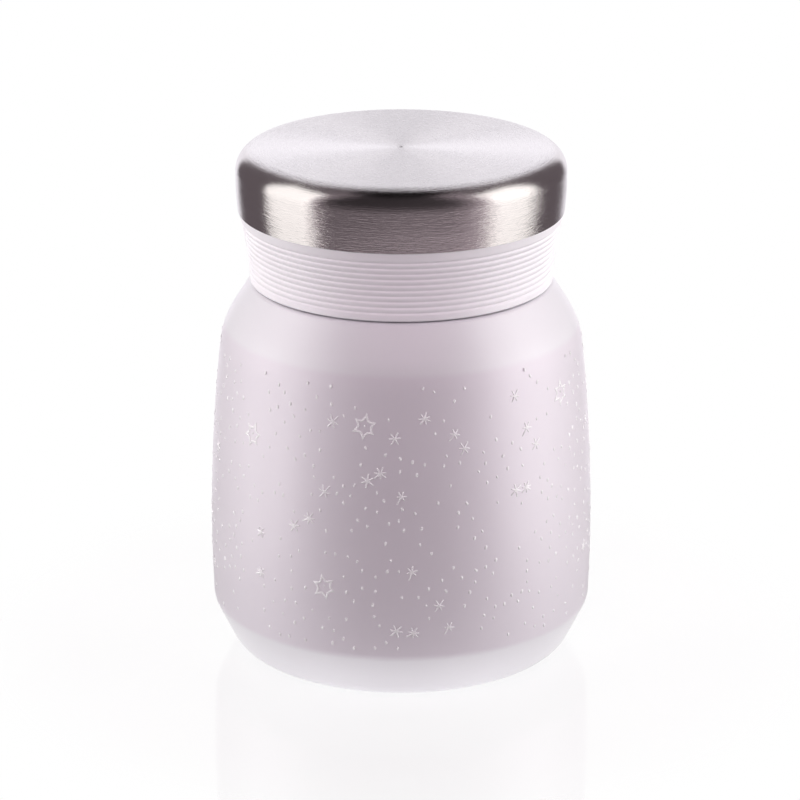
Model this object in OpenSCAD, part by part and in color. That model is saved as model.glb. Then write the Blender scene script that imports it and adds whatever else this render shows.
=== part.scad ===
// Insulated food jar: a double-walled steel body with a screw lid.
// Millimetres, Z up. The origin is the centre of the foot, on the table.

/* [Body] */
// Largest outer diameter of the body
body_d = 89.9; // [87:0.1:96]
// Height of the shoulder's upper edge above the table
body_h = 89.5; // [84:0.5:100]
// How far the shoulder's edge lies inside the collar's side
shoulder_inset = 0.1; // [0:0.05:0.5]
// Height of the sloping shoulder
shoulder_h = 10.6; // [8:0.2:13]
// Height of the widest place above the table
belly_z = 28.3; // [22:0.5:40]
// Radius of the side's long upright curve
belly_bend = 411; // [350:1:600]
// Height of the sloping band above the table
base_band_h = 12; // [9:0.5:15]
// How far the sloping band draws in from the widest place
base_inset = 6.25; // [4:0.25:8]
// Radius of the soft crease under the shoulder
shoulder_round = 17; // [8:1:20]
// Radius of the crease above the sloping band
band_round = 5; // [3:0.5:8]
// Radius of the edge that meets the table
base_round = 6; // [4:0.5:7]
// Thickness of the outer steel wall
shell_t = 0.6; // [0.5:0.05:0.8]

/* [Foot] */
// Width of the flat ring on which the jar stands
foot_land = 1.3; // [0.8:0.1:3]
// Height of the hem inside the foot ring
hem_h = 3.2; // [2.8:0.1:3.8]
// Depth of the cover's face above the table
cover_recess = 0.8; // [0.5:0.1:1.1]
// Thickness of the steel cover under the foot
cover_t = 0.5; // [0.4:0.1:0.6]
// Diameter of the dimple around the evacuation hole
dimple_d = 14; // [11:0.5:18]
// Diameter of the evacuation hole
evacuation_d = 1.6; // [1.2:0.1:2.4]

/* [Liner] */
// Inner diameter of the mouth
mouth_d = 58.8; // [52:0.2:62]
// Vacuum gap between the walls at the widest place
vacuum_gap = 4.15; // [2.5:0.05:6]
// Thickness of the liner's steel
liner_t = 0.6; // [0.4:0.05:0.7]
// Height of the liner's floor above the table
liner_floor_z = 7.4; // [7:0.2:9]
// Radius between the liner's floor and wall
liner_round = 9; // [6:0.5:12]
// Height of the weld between the liner's wall and its bottom
liner_seam_z = 18; // [18:0.5:20]
// Vacuum gap between the two walls of the neck
neck_gap = 0.4; // [0.3:0.05:0.5]
// Thickness of the copper foil around the liner
foil_t = 0.15; // [0.1:0.05:0.3]
// Diameter of the getter pill
getter_d = 8.6; // [6:0.2:10]

/* [Thread] */
// Threads that start side by side
thread_starts = 3; // [2:1:3]
// Height from one thread to the next
thread_pitch = 4; // [3.8:0.1:4.4]
// Arc that each thread covers, in degrees
thread_arc = 140; // [100:5:150]
// Depth of a thread
thread_depth = 1.2; // [1:0.05:1.25]
// Height of a thread at its root
thread_root_w = 1.8; // [1.5:0.05:1.9]
// Height of a thread at its crest
thread_crest_w = 0.9; // [0.6:0.05:1.1]
// Radial clearance of each thread's crest
thread_clear = 0.4; // [0.3:0.05:0.5]
// Wall of the threaded ring on the neck
neck_ring_t = 0.7; // [0.6:0.05:0.8]

/* [Ribbed collar] */
// Wall of the collar between its bore and its ribs
collar_t = 1.95; // [1.7:0.05:2.6]
// How far the collar flares out at its top
flare_out = 2.4; // [1.6:0.1:3.2]
// Height of the collar
collar_h = 16.7; // [16.2:0.1:18]
// Height of the flare
flare_h = 15.4; // [11:0.2:16]
// How late the flare opens: 1 is a straight cone
flare_power = 1.65; // [1.2:0.05:2.4]
// Gap between the collar and the shoulder
lid_gap = 0.4; // [0.3:0.05:0.8]
// Grooves between the ribs
groove_count = 10; // [6:1:10]
// Height from one groove to the next
groove_pitch = 1.36; // [1.2:0.02:1.4]
// Depth of a groove
groove_depth = 0.3; // [0.2:0.02:0.4]
// Height of the lowest groove above the collar's edge
groove_first = 2; // [1.6:0.1:2.4]
// Thickness of the shelf that carries the plug
shelf_t = 1.6; // [1.4:0.1:2]

/* [Steel cap] */
// How far the cap's rim stands out over the collar
cap_overhang = 0.15; // [0:0.05:0.6]
// How far the cap's side draws in towards its rim
cap_tuck = 0.4; // [0.1:0.05:1]
// Height of the steel cap
cap_h = 14.4; // [12.5:0.1:20]
// Height of the cap's drawn-in lower part
cap_tuck_h = 4.6; // [3:0.2:6]
// Radius of the bend where the cap's side draws in
cap_tuck_bend = 30; // [10:5:40]
// Radius of the cap's upper edge
cap_round = 5.2; // [4:0.1:6]
// Thickness of the cap's steel
cap_t = 0.6; // [0.4:0.05:0.7]
// Wall of the plastic core inside the cap
core_t = 2; // [1.5:0.1:2.4]
// Thickness of the bonding pad under the cap
pad_t = 0.3; // [0.2:0.05:0.5]

/* [Plug and seal] */
// Depth of the plug below the rim of the mouth
plug_depth = 9.8; // [8:0.2:12]
// Wall and floor of the plug
plug_t = 1.4; // [1.2:0.1:1.8]
// Clearance between the plug and the mouth
plug_clear = 0.5; // [0.4:0.05:0.7]
// Thickness of the plug's flange
flange_t = 1.4; // [1.2:0.1:1.8]
// Thickness of the silicone seal
seal_t = 1.4; // [1.2:0.1:2]

/* [Hidden] */

$fn = 96;
arc_step = 6;           // degrees of a rounded corner in one straight step
thread_step = 5;        // degrees of a thread in one straight step
fit = 0.1;              // clearance of pieces that seat in one another
press = 0.05;           // clearance of pieces that are pressed or welded together
bend = 0.6;             // inner radius of a tight bend in sheet steel
embed = 0.3;            // depth to which a thread's root runs into its wall

// Colours
lilac = [0.87, 0.84, 0.87];
steel = [0.72, 0.71, 0.70];
copper = [0.80, 0.50, 0.36];
plastic = [0.90, 0.87, 0.90];
silicone = [0.93, 0.93, 0.94];
foam = [0.97, 0.97, 0.95];
pad = [0.75, 0.76, 0.78];
glass = [0.25, 0.30, 0.30];
getter = [0.35, 0.35, 0.37];

// Radii
body_r = body_d / 2;
base_r = body_r - base_inset;                       // where the sloping band would meet the table
liner_r = body_r - shell_t - vacuum_gap - liner_t;  // inside of the food space
mouth_r = mouth_d / 2;
neck_r = mouth_r + liner_t + neck_gap + shell_t;    // outside of the outer wall's neck
ring_r = neck_r + press + neck_ring_t;              // outside of the threaded ring
thread_r = ring_r + thread_depth;                   // crest of the ring's thread
bore_r = thread_r + thread_clear;                   // inside of the ribbed collar
collar_r = bore_r + collar_t;
collar_top_r = collar_r + flare_out;
shoulder_r = collar_r - shoulder_inset;
cap_rim_r = collar_top_r + cap_overhang;
cap_r = cap_rim_r + cap_tuck;
core_r = cap_rim_r - cap_t - fit;                   // outside of the cap's core
plug_r = mouth_r - plug_clear;
flange_r = bore_r - thread_depth - 2 * fit;         // passes inside the collar's thread
shelf_hole_r = plug_r + 4 * fit;                    // the plug's neck snaps through here
seal_in_r = plug_r + fit;
seal_out_r = flange_r - 3 * fit;

// Heights
collar_z = body_h + lid_gap;
collar_top_z = collar_z + collar_h;
cap_top_z = collar_top_z + cap_h;
rim_step = 0.4;                                     // the core's seat stands above the cap's rim
core_z = collar_top_z + rim_step;
shelf_z = core_z - shelf_t;
flange_z = shelf_z - flange_t;
seal_z = flange_z - fit - seal_t;
rim_z = seal_z - fit;                               // top of the mouth
plug_z = rim_z - plug_depth;
core_top_z = cap_top_z - cap_t - pad_t;
shoulder_low_z = body_h - shoulder_h;
plate_z = hem_h - fit;                              // top of the welded bottom plate
dimple_h = 1.2;                                     // rise of the dimple in that plate
lead = thread_pitch * thread_starts;                // rise of the lid in one turn

// ---- Outlines: points are [radius, height] ----

function unit(v) = v / norm(v);
function reversed(list) = [for (i = [len(list) - 1:-1:0]) list[i]];

// Half the angle at corner b of the path a-b-c.
function corner_half(a, b, c) = acos(unit(a - b) * unit(c - b)) / 2;

// How far from that corner a rounding of radius r starts.
function corner_reach(a, b, c, r) = r / tan(corner_half(a, b, c));

// The arc that rounds corner b of the path a-b-c with radius r.
function corner_arc(a, b, c, r) =
    let (
        u = unit(a - b),
        w = unit(c - b),
        reach = corner_reach(a, b, c, r),
        centre = b + unit(u + w) * r / sin(corner_half(a, b, c)),
        from = b + u * reach - centre,
        to = b + w * reach - centre,
        start = atan2(from[1], from[0]),
        sweep = (atan2(to[1], to[0]) - start + 540) % 360 - 180,
        steps = max(2, ceil(abs(sweep) / arc_step))
    )
    [for (i = [0:steps]) centre + r * [cos(start + sweep * i / steps), sin(start + sweep * i / steps)]];

// A path whose corners are [radius, height, rounding], with the ends left sharp.
function rounded(corners) =
    let (last = len(corners) - 1, flat = [for (c = corners) [c[0], c[1]]])
    [for (i = [0:last]) each
        i == 0 || i == last || corners[i][2] == 0
            ? [flat[i]]
            : corner_arc(flat[i - 1], flat[i], flat[i + 1], corners[i][2])];

// The path moved sideways by t, to the right of its own direction.
function step_normal(path, i) = let (d = unit(path[i + 1] - path[i])) [d[1], -d[0]];
function shifted(path, t) =
    let (last = len(path) - 1)
    [for (i = [0:last])
        let (
            before = step_normal(path, max(i - 1, 0)),
            after = step_normal(path, min(i, last - 1))
        )
        path[i] + t * (before + after) / (1 + before * after)];

// A sheet of thickness t on the right of the path, as one closed outline.
function sheet(path, t) = concat(path, reversed(shifted(path, t)));

module turned(outline) {
    rotate_extrude() polygon(outline);
}

module ring(inner_r, outer_r, z, h) {
    turned([[inner_r, z], [outer_r, z], [outer_r, z + h], [inner_r, z + h]]);
}

// ---- Threads ----

// One thread: a trapezium swept along the helix, thinned at both ends.
module thread(root_r, crest_r, mid_z) {
    steps = round(thread_arc / thread_step);
    fade = 3;                                       // steps over which an end rises
    sunk = 0.3;                                     // share of a step that starts inside the wall
    points = [for (i = [0:steps]) each
        let (
            a = i * thread_arc / steps,
            z = mid_z + lead * a / 360,
            rise = min(1, (i + sunk) / fade, (steps - i + sunk) / fade),
            tip_r = root_r + (crest_r - root_r) * rise,
            section = [
                [root_r, -thread_root_w / 2], [tip_r, -thread_crest_w / 2],
                [tip_r, thread_crest_w / 2], [root_r, thread_root_w / 2]
            ]
        )
        [for (p = section) [p[0] * cos(a), p[0] * sin(a), z + p[1]]]];
    sides = [for (i = [0:steps - 1], k = [0:3]) each
        let (p = 4 * i + k, q = 4 * i + (k + 1) % 4)
        [[p, q, q + 4], [p, q + 4, p + 4]]];
    end = 4 * steps;
    caps = [[0, 2, 1], [0, 3, 2], [end, end + 1, end + 2], [end, end + 2, end + 3]];
    faces = concat(sides, caps);
    polyhedron(points, crest_r > root_r ? faces : [for (f = faces) reversed(f)]);
}

module threads(root_r, crest_r, mid_z) {
    for (i = [0:thread_starts - 1])
        rotate([0, 0, thread_turn + 360 * i / thread_starts]) thread(root_r, crest_r, mid_z);
}

thread_turn = 12.7;                                 // angle at which the first thread starts
neck_thread_z = collar_z + thread_pitch + 2 * fit;  // middle of a thread's low end on the neck
lid_thread_z = neck_thread_z - thread_pitch / 2;    // the lid's threads lie between the neck's

// ---- Body ----

// Radius of the long upright curve at a height.
function side_r(z) = body_r - belly_bend + sqrt(pow(belly_bend, 2) - pow(z - belly_z, 2));

tight = shell_t + bend;                             // outer radius of a tight bend in the shell
band_top = [side_r(base_band_h), base_band_h];
foot_edge_r = base_r - corner_reach(band_top, [base_r, 0], [0, 0], base_round);
foot_r = foot_edge_r - foot_land - tight;           // inside of the foot ring
shell_path = rounded(concat(
    [[neck_r, rim_z - liner_t - press, 0],
     [neck_r, body_h, bend],
     [shoulder_r, body_h, tight],
     [side_r(shoulder_low_z), shoulder_low_z, shoulder_round]],
    [for (i = [1:10])
        let (z = shoulder_low_z + (base_band_h - shoulder_low_z) * i / 11) [side_r(z), z, 0]],
    [[band_top[0], band_top[1], band_round],
     [base_r, 0, base_round],
     [foot_r, 0, tight],
     [foot_r, hem_h, 0]]
));

module outer_shell() {
    color(lilac) turned(sheet(shell_path, shell_t));
}

plate_r = foot_r - press;
plate_under_z = plate_z - shell_t;
module outer_bottom() {
    flange_low = cover_recess + 2 * fit;
    path = rounded([
        [plate_r, flange_low, 0],
        [plate_r, plate_z, tight],
        [dimple_d / 2 + dimple_h, plate_z, 0],
        [dimple_d / 2, plate_z + dimple_h, 0],
        [evacuation_d / 2, plate_z + dimple_h, 0]
    ]);
    color(steel) turned(sheet(path, -shell_t));
}

cover_r = plate_r - shell_t - fit;
module base_cover() {
    top_z = plate_under_z - bend - fit;             // stays below the bend in the plate
    path = rounded([
        [0, cover_recess, 0],
        [cover_r, cover_recess, cover_t + bend / 2],
        [cover_r, top_z, 0]
    ]);
    color(steel) turned(sheet(path, -cover_t));
}

module seal_bead() {
    bead_r = evacuation_d * 1.5;
    dimple_under_z = plate_under_z + dimple_h;
    bead_t = 0.9;
    plug_top_z = plate_z + dimple_h + 2 * fit;
    color(glass) turned(rounded([
        [0, dimple_under_z - bead_t, 0],
        [bead_r, dimple_under_z - bead_t, bead_t / 2],
        [bead_r, dimple_under_z, 0],
        [evacuation_d / 2 - press, dimple_under_z, 0],
        [evacuation_d / 2 - press, plug_top_z, 0],
        [0, plug_top_z, 0]
    ]));
}

getter_x = (dimple_d / 2 + dimple_h + plate_r) / 2; // between the dimple and the plate's edge
tray_t = 0.3;
pill_h = 1.4;
pill_sunk = 0.98;                                   // how deep the pill sits in its tray
module getter_tray() {
    outer_r = getter_d / 2 + fit + tray_t;
    color(steel) translate([getter_x, 0, plate_z]) difference() {
        cylinder(r = outer_r, h = tray_t + pill_sunk);
        translate([0, 0, tray_t]) cylinder(r = outer_r - tray_t, h = pill_h);
    }
}

module getter_pill() {
    color(getter) translate([getter_x, 0, plate_z + tray_t]) cylinder(d = getter_d, h = pill_h);
}

// ---- Liner ----

lip_r = neck_r;                                     // the lip covers the outer wall's neck
neck_drop = 3;                                      // the liner widens this far below the shoulder
neck_bend = 4;                                      // radius where the liner's neck widens
belly_round = 8;                                    // radius where it becomes upright again
liner_neck_z = body_h - neck_drop;
liner_shoulder_z = liner_neck_z - (liner_r - mouth_r);

module liner_wall() {
    path = rounded([
        [lip_r, rim_z, 0],
        [mouth_r, rim_z, liner_t + bend / 2],
        [mouth_r, liner_neck_z, neck_bend],
        [liner_r, liner_shoulder_z, belly_round],
        [liner_r, liner_seam_z, 0]
    ]);
    color(steel) turned(sheet(path, -liner_t));
}

module liner_bottom() {
    path = rounded([
        [liner_r, liner_seam_z, 0],
        [liner_r, liner_floor_z, liner_round],
        [0, liner_floor_z, 0]
    ]);
    color(steel) turned(sheet(path, -liner_t));
}

module radiation_foil() {
    above_seam = 2;
    below_shoulder = 4;
    foil_r = liner_r + liner_t + fit;
    low_z = liner_seam_z + above_seam;
    high_z = liner_shoulder_z - below_shoulder;
    color(copper) ring(foil_r, foil_r + foil_t, low_z, high_z - low_z);
}

module neck_ring() {
    low_z = body_h + bend + fit;
    high_z = rim_z - liner_t - press - bend;
    color(steel) union() {
        ring(neck_r + press, ring_r, low_z, high_z - low_z);
        threads(ring_r - embed, thread_r, neck_thread_z);
    }
}

// ---- Lid ----

module lid_seal() {
    edge = seal_t / 4;
    mid_r = (seal_in_r + seal_out_r) / 2;
    color(silicone) turned(rounded([
        [mid_r, seal_z, 0],
        [seal_out_r, seal_z, edge],
        [seal_out_r, seal_z + seal_t, edge],
        [seal_in_r, seal_z + seal_t, edge],
        [seal_in_r, seal_z, edge],
        [mid_r - edge, seal_z, 0]
    ]));
}

// Outside of the collar at a height: an upright part, a flare and the ribs' grooves.
function flare(z) = pow(max(0, (z - collar_top_z + flare_h) / flare_h), flare_power);
function groove(z) =
    let (n = (z - collar_z - groove_first) / groove_pitch)
    n < -0.5 || n > groove_count - 0.5 ? 0 : groove_depth * pow(cos(180 * n), 4);
function collar_side_r(z) = collar_r + (collar_top_r - collar_r) * flare(z) - groove(z);

edge_round = 0.5;
ribs_top_z = collar_z + groove_first + (groove_count - 0.5) * groove_pitch;
rib_steps = 8 * groove_count;
collar_side = concat(
    [for (i = [0:2]) let (a = 45 * i)
        [collar_r - edge_round + edge_round * sin(a), collar_z + edge_round - edge_round * cos(a)]],
    [for (i = [0:rib_steps])
        let (z = collar_z + groove_first + groove_pitch * (i / 8 - 0.5)) [collar_side_r(z), z]],
    [for (i = [1:4]) let (z = ribs_top_z + (collar_top_z - ribs_top_z) * i / 4) [collar_side_r(z), z]]
);

tongue_in_r = core_r - core_t + 2 * fit;            // the core's tongue stands in the collar's groove
tongue_out_r = core_r - 4 * fit;
tongue_h = 1.2;

module grip_collar() {
    color(plastic) union() {
        difference() {
            turned(concat(collar_side, [
                [core_r + fit, collar_top_z],
                [core_r + fit, core_z],
                [shelf_hole_r, core_z],
                [shelf_hole_r, shelf_z],
                [bore_r, shelf_z],
                [bore_r, collar_z]
            ]));
            ring(tongue_in_r - fit, tongue_out_r + fit, core_z - tongue_h - fit, 2 * tongue_h);
        }
        threads(bore_r + embed, bore_r - thread_depth, lid_thread_z);
    }
}

core_round = max(cap_round - cap_t, 1);
module cap_core() {
    path = rounded([
        [0, core_top_z, 0],
        [core_r, core_top_z, core_round],
        [core_r, core_z, 0]
    ]);
    color(plastic) union() {
        turned(sheet(path, core_t));
        ring(tongue_in_r, tongue_out_r, core_z - tongue_h, tongue_h + embed);
    }
}

module cap_shell() {
    path = rounded([
        [0, cap_top_z, 0],
        [cap_r, cap_top_z, cap_round],
        [cap_r, collar_top_z + cap_tuck_h, cap_tuck_bend],
        [cap_rim_r, collar_top_z + press, 0]
    ]);
    color(steel) turned(sheet(path, cap_t));
}

pad_inset = 1;                                      // the pad ends this far inside the flat top
module bonding_pad() {
    color(pad) translate([0, 0, core_top_z]) cylinder(r = core_r - core_round - pad_inset, h = pad_t);
}

cup_round = 2;                                      // radius inside the cup's bottom corner
snap_h = 0.9;                                       // height of the cup's snap edge over the shelf
module insulation_foam() {
    foam_r = plug_r - plug_t - 2 * fit;
    low_z = plug_z + plug_t;
    top_z = core_top_z - core_t - fit;
    color(foam) turned(rounded([[0, low_z, 0], [foam_r, low_z, cup_round], [foam_r, top_z, 0], [0, top_z, 0]]));
}

module plug_cup() {
    edge = 3;                                       // radius of the plug's lower edge
    wall_r = plug_r - plug_t;
    neck_top_z = core_z + snap_h;
    bead_r = plug_r + 2 * fit;                      // keeps the seal from slipping off
    bead_top_z = rim_z - 4 * fit;
    bead_low_z = bead_top_z - 0.3;
    color(plastic) turned(rounded([
        [0, plug_z, 0],
        [plug_r, plug_z, edge],
        [plug_r, bead_low_z - 2 * (bead_r - plug_r), 0],
        [bead_r, bead_low_z, 0],
        [bead_r, bead_top_z, 0],
        [plug_r, rim_z - 2 * fit, 0],
        [plug_r, flange_z, 0],
        [flange_r, flange_z, 0],
        [flange_r, shelf_z, 0],
        [shelf_hole_r - fit, shelf_z, 0],
        [shelf_hole_r - fit, core_z + press, 0],
        [shelf_hole_r + 3 * fit, core_z + press, 0],
        [shelf_hole_r - fit, neck_top_z, 0],
        [wall_r, neck_top_z, 0],
        [wall_r, plug_z + plug_t, cup_round],
        [0, plug_z + plug_t, 0]
    ]));
}

// ---- Pieces ----

outer_shell();
outer_bottom();
base_cover();
seal_bead();
getter_tray();
getter_pill();
liner_wall();
liner_bottom();
radiation_foil();
neck_ring();
lid_seal();
grip_collar();
cap_core();
cap_shell();
bonding_pad();
insulation_foam();
plug_cup();
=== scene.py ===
# %% [markdown]
# # Insulated food jar
# A short double-walled steel jar: a powder-coated body with a scattering of small raised stars and
# grains, a ribbed plastic grip collar, and a brushed steel cap. The lid turns and rises on a
# thread. This lesson loads the engineering model as a fixed frame, and then models and finishes
# what the eye sees.

# %% Load the frame
import math
import random

import bpy
from mathutils import Matrix, Vector


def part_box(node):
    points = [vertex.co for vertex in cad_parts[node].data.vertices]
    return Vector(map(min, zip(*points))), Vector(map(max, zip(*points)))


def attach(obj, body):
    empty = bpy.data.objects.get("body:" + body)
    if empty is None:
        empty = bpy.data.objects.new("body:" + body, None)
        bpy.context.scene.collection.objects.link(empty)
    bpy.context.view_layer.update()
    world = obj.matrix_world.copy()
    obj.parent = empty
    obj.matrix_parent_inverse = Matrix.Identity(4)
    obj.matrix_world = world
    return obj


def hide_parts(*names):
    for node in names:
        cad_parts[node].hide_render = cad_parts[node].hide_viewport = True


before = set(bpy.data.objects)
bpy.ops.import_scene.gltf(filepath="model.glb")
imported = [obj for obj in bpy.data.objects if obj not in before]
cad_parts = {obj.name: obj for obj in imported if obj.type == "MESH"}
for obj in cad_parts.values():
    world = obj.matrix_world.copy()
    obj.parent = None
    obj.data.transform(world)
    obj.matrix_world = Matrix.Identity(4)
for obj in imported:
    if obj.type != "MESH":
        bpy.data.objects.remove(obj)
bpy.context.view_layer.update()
mm = 0.001

# %% [markdown]
# ## Camera
# The jar is seen from a little above, through a long lens from most of a metre away, which keeps
# its upright sides nearly parallel. A camera could be pointed with a Track To constraint. Here its
# tilt is typed in, because the tilt alone sets how wide the ellipses of the lid and the foot open.

# %% Camera
camera_place = (-0.0003, -0.8568, 0.3559)
camera_tilt = math.radians(70.905)
camera_lens = 173.29
camera_sensor = 36
bpy.ops.object.camera_add(location=camera_place, rotation=(camera_tilt, 0, 0))
camera = bpy.context.object
camera.name = "camera"
camera.data.lens = camera_lens
camera.data.sensor_width = camera_sensor
bpy.context.scene.camera = camera
print("camera:", round(camera.data.lens, 1), "mm lens")

# %% [markdown]
# ## Colour handling and the room
# The jar stands in a dim studio in front of a bright backdrop. A plain white world would light the
# steel cap from all sides and make it look like white plastic. So the world is dim, apart from a
# patch behind the jar that lights it and shows as white in polished surfaces. What the camera
# itself sees past the jar is white all round. The parts of the room are cut out of the sky by
# direction, in degrees: by the turn away from the camera's side, from 0 in front of the jar to 180
# behind it, and by the height above the horizon. In front lie a pale floor, a dim wall and a dark
# ceiling, a little darker on the left. Beside each softbox the room glows softly.

# %% Shader node helper
bpy.context.scene.view_settings.view_transform = "Standard"


class Tree:
    """A shader tree. add() places a node, and wires or sets its inputs."""

    def __init__(self, owner):
        owner.use_nodes = True
        self.nodes = owner.node_tree.nodes
        self.links = owner.node_tree.links
        self.nodes.clear()

    def add(self, kind, inputs=None, **settings):
        node = self.nodes.new("ShaderNode" + kind)
        for key, value in settings.items():
            setattr(node, key, value)
        for key, value in (inputs or {}).items():
            if isinstance(value, bpy.types.NodeSocket):
                self.links.new(value, node.inputs[key])
            else:
                node.inputs[key].default_value = value
        return node

    def math(self, operation, *values):
        return self.add("Math", dict(enumerate(values)), operation=operation).outputs[0]

    def distance(self, x, y):
        squares = self.math("ADD", self.math("MULTIPLY", x, x), self.math("MULTIPLY", y, y))
        return self.math("SQRT", squares)

    def ramp(self, value, low, high, to_low=0.0, to_high=1.0, smooth=True):
        kind = "SMOOTHSTEP" if smooth else "LINEAR"
        inputs = {"Value": value, "From Min": low, "From Max": high}
        inputs.update({"To Min": to_low, "To Max": to_high})
        return self.add("MapRange", inputs, interpolation_type=kind).outputs[0]

    def mix(self, factor, first, second):
        inputs = {0: factor, 6: first, 7: second}    # the two colours' sockets are 6 and 7
        return self.add("Mix", inputs, data_type="RGBA").outputs[2]


def grey(value):
    return (value, value, value, 1)


print("view transform:", bpy.context.scene.view_settings.view_transform)

# %% World
backdrop_side = (150, 158)          # degrees of turn over which the backdrop starts
backdrop_foot = (-28, -18)          # degrees of height over which it starts
backdrop_top = (56.6, 61.6)         # degrees of height over which it ends
backdrop_level = 0.9                # its strength for matt surfaces, where mirrors see 1
backdrop_white = (0.95, 0.92, 0.98, 1)
room_tint = (1.0, 0.83, 0.92, 1)
front_side = (48, 62)               # degrees of turn over which the front of the room ends
front_floor = (-40, -27)            # degrees of height over which the pale floor in front ends
front_wall = (6, 13)                # degrees of height over which the wall in front ends
zenith = (68, 74)                   # degrees of height over which the room goes dark
floor_level = 0.54
wall_level = 0.172
ceiling_level = 0.042
front_lean = (-50, 45, 0.75, 1.08)  # the front is darker on the left: degrees of turn, and shares
side_level = 0.125
left_skirt = (-1, 54, 64, 0.20)     # side, degrees over which the glow comes, and its level
right_skirt = (1, 38, 62, 0.27)
skirt_end = (66, 72)                # degrees over which each glow ends
room_share = 0.5                    # how much of the room's light reaches the matt surfaces

world = bpy.data.worlds.new("studio")
bpy.context.scene.world = world
room = Tree(world)
east, north, up = room.add("SeparateXYZ", {0: room.add("TexCoord").outputs["Generated"]}).outputs
height = room.math("DEGREES", room.math("ARCSINE", up))
bearing = room.math("DEGREES", room.math("ARCTAN2", east, room.math("MULTIPLY", north, -1)))
turn = room.math("ABSOLUTE", bearing)
patch = room.math("MULTIPLY", room.ramp(turn, *backdrop_side), room.ramp(height, *backdrop_foot))
patch = room.math("MULTIPLY", patch, room.ramp(height, *backdrop_top, 1, 0))
rays = room.add("LightPath").outputs
mirrored = room.math("MAXIMUM", rays["Is Glossy Ray"], rays["Is Transmission Ray"])
lit = room.mix(room.ramp(mirrored, 0, 1, backdrop_level, 1, smooth=False), grey(0), backdrop_white)
floor_share = room.ramp(height, *front_floor, 1, 0)
front = room.ramp(height, *front_wall, wall_level, ceiling_level)
front = room.math("ADD", front, room.math("MULTIPLY", floor_share, floor_level - wall_level))
front = room.math("MULTIPLY", front, room.ramp(bearing, *front_lean))
dim = room.mix(room.ramp(turn, *front_side), front, grey(side_level))
for side, start, full, level in (left_skirt, right_skirt):
    toward = room.math("MULTIPLY", bearing, side)
    glow = room.ramp(toward, start, full, 0, level)
    glow = room.math("MULTIPLY", glow, room.ramp(toward, *skirt_end, 1, 0))
    dim = room.math("ADD", dim, glow)
dim = room.math("MULTIPLY", dim, room.ramp(height, *zenith, 1, 0))
dim = room.math("MULTIPLY", dim, room.ramp(mirrored, 0, 1, room_share, 1, smooth=False))
seen = room.mix(patch, room.mix(dim, grey(0), room_tint), lit)
shown_white = room.math("MAXIMUM", rays["Is Camera Ray"], rays["Is Singular Ray"])
sky = room.add("Background", {"Color": room.mix(shown_white, seen, grey(1))})
room.links.new(sky.outputs[0], room.add("OutputWorld").inputs[0])
print("world:", len(room.nodes), "nodes")

# %% [markdown]
# ## Softboxes
# A tall softbox on each side draws the long bright bars in the brushed steel and leaves the front
# of the jar in soft shade. Point lamps would give small hard glints. Area lamps of the real boxes'
# size give bars with the right width, because steel mirrors them. A dimmer box stands under each.
# The camera looks down on the jar, so the upright steel mirrors the lower boxes, and the bars keep
# their colour while the upper ones light the coat. Five fill boxes open up the coat: two stand
# behind its far edges, two light its flanks, and one hangs above. They are kept out of mirrors with
# the lamp's glossy visibility, as black flags would do in a studio, so that the steel stays dark
# between its bars.

# %% Softboxes
warm_white = (1.0, 0.985, 0.965)
plain_white = (1.0, 1.0, 1.0)
pale_rose = (1.0, 0.77, 0.90)
tall_box = {"size": (0.41, 0.66)}
low_box = {"size": (0.41, 0.46)}
rim_box = {"size": (0.35, 0.60)}
side_box = {"size": (0.30, 0.40), "colour": plain_white}
top_box = {"size": (0.50, 0.30), "colour": pale_rose}
softboxes = {
    "softbox_left": {"place": (-83.5, 0.55, 0.39), "radiance": 1.15, **tall_box},
    "softbox_right": {"place": (83, 0.55, 0.39), "radiance": 1.28, **tall_box},
    "low_box_left": {"place": (-83.5, 0.55, -0.17), "radiance": 0.97, **low_box},
    "low_box_right": {"place": (83, 0.55, -0.17), "radiance": 1.0, **low_box},
}
fill_boxes = {
    "rim_fill_left": {"place": (-127, 0.54, 0.156), "radiance": 2.9, **rim_box},
    "rim_fill_right": {"place": (127, 0.54, 0.156), "radiance": 3.1, **rim_box},
    "side_fill_left": {"place": (-68, 0.55, 0.10), "radiance": 3.1, **side_box},
    "side_fill_right": {"place": (68, 0.55, 0.10), "radiance": 3.35, **side_box},
    "top_fill": {"place": (0, 0.45, 0.596), "radiance": 3.3, **top_box},
}
aim_z = 0.06    # the fill boxes face the middle of the coat


def add_softbox(name, place, radiance, size, colour=warm_white, level=True):
    """place is a turn in degrees, 0 in front and positive towards +X, a distance and a height."""
    turn, distance, height = math.radians(place[0]), place[1], place[2]
    spot = Vector((distance * math.sin(turn), -distance * math.cos(turn), height))
    target = Vector((0, 0, height if level else aim_z))
    facing = (target - spot).to_track_quat("-Z", "Y").to_euler()
    bpy.ops.object.light_add(type="AREA", location=spot, rotation=facing)
    lamp = bpy.context.object
    lamp.name = name
    lamp.data.shape = "RECTANGLE"
    lamp.data.size, lamp.data.size_y = size
    lamp.data.energy = radiance * math.pi * size[0] * size[1]
    lamp.data.color = colour
    lamp.visible_camera = False
    return lamp


for name, values in softboxes.items():
    print(name, round(add_softbox(name, **values).data.energy, 2), "W")
for name, values in fill_boxes.items():
    fill = add_softbox(name, **values, level=False)
    fill.visible_glossy = False
    print(name, round(fill.data.energy, 2), "W")

# %% [markdown]
# ## Floor
# A round plate of polished white acrylic, lit a little from below, as on a light table. Its surface
# reflects like glass, strongly at a flat angle, so it shows a faint upside-down jar. To the camera
# the plate is plain white, with a share of real light left in, so that the soft shadow under the
# foot stays. The share fades before the edge, where the white of the plate runs into the white
# behind it. To all other rays it is an ordinary pale plate that the lamps light, and its own glow
# lights the foot band. From below it is clear, so that the foot can be looked at.

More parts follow.
